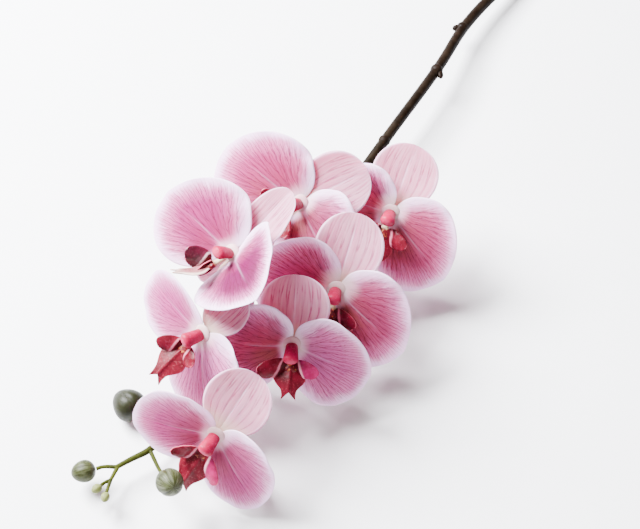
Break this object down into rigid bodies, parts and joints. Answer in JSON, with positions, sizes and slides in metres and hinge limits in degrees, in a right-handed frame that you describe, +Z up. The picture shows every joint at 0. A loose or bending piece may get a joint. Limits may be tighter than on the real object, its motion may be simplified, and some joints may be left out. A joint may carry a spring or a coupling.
{
  "type": "moth orchid stem",
  "caption": "Cut moth orchid stem lying on its side: arched stalk with veined pink blooms, each with petals, sepals, column and lip, and round green buds at the tip.",
  "frame": {"origin": "the small flat spot under the cut end of the stalk, where it rests on the surface", "axes": "+Z up, away from the surface the stem lies on; the stalk runs from the origin towards -Y, so the tip with the buds is at -Y; +X is the side most blooms lean to"},
  "size_m": [0.1449, 0.5728, 0.1059],
  "materials": {
    "petal": "satin petal, white rim, magenta veins",
    "sepal": "satin pale sepal, fine grey-pink veins",
    "column": "smooth coral, satin",
    "lip": "satin deep crimson, speckled",
    "stem": "satin brown-green, paler at the tip",
    "bud": "satin olive green, mottled"
  },
  "bodies": {
    "root": {"stem": "stem", "bloom_1_petal_right": "petal", "bloom_1_petal_left": "petal", "bloom_1_dorsal_sepal": "sepal", "bloom_1_sepal_right": "sepal", "bloom_1_sepal_left": "sepal", "bloom_1_column": "column", "bloom_1_lip": "lip", "bloom_2_petal_right": "petal", "bloom_2_petal_left": "petal", "bloom_2_dorsal_sepal": "sepal", "bloom_2_sepal_right": "sepal", "bloom_2_sepal_left": "sepal", "bloom_2_column": "column", "bloom_2_lip": "lip", "bloom_3_petal_right": "petal", "bloom_3_petal_left": "petal", "bloom_3_dorsal_sepal": "sepal", "bloom_3_sepal_right": "sepal", "bloom_3_sepal_left": "sepal", "bloom_3_column": "column", "bloom_3_lip": "lip", "bloom_4_petal_right": "petal", "bloom_4_petal_left": "petal", "bloom_4_dorsal_sepal": "sepal", "bloom_4_sepal_right": "sepal", "bloom_4_sepal_left": "sepal", "bloom_4_column": "column", "bloom_4_lip": "lip", "bloom_5_petal_right": "petal", "bloom_5_petal_left": "petal", "bloom_5_dorsal_sepal": "sepal", "bloom_5_sepal_right": "sepal", "bloom_5_sepal_left": "sepal", "bloom_5_column": "column", "bloom_5_lip": "lip", "bloom_6_petal_right": "petal", "bloom_6_petal_left": "petal", "bloom_6_dorsal_sepal": "sepal", "bloom_6_sepal_right": "sepal", "bloom_6_sepal_left": "sepal", "bloom_6_column": "column", "bloom_6_lip": "lip", "bloom_7_petal_right": "petal", "bloom_7_petal_left": "petal", "bloom_7_dorsal_sepal": "sepal", "bloom_7_sepal_right": "sepal", "bloom_7_sepal_left": "sepal", "bloom_7_column": "column", "bloom_7_lip": "lip", "bud_1": "bud", "bud_2": "bud", "bud_3": "bud", "bud_4": "bud", "bud_5": "bud"}
  },
  "joints": []
}
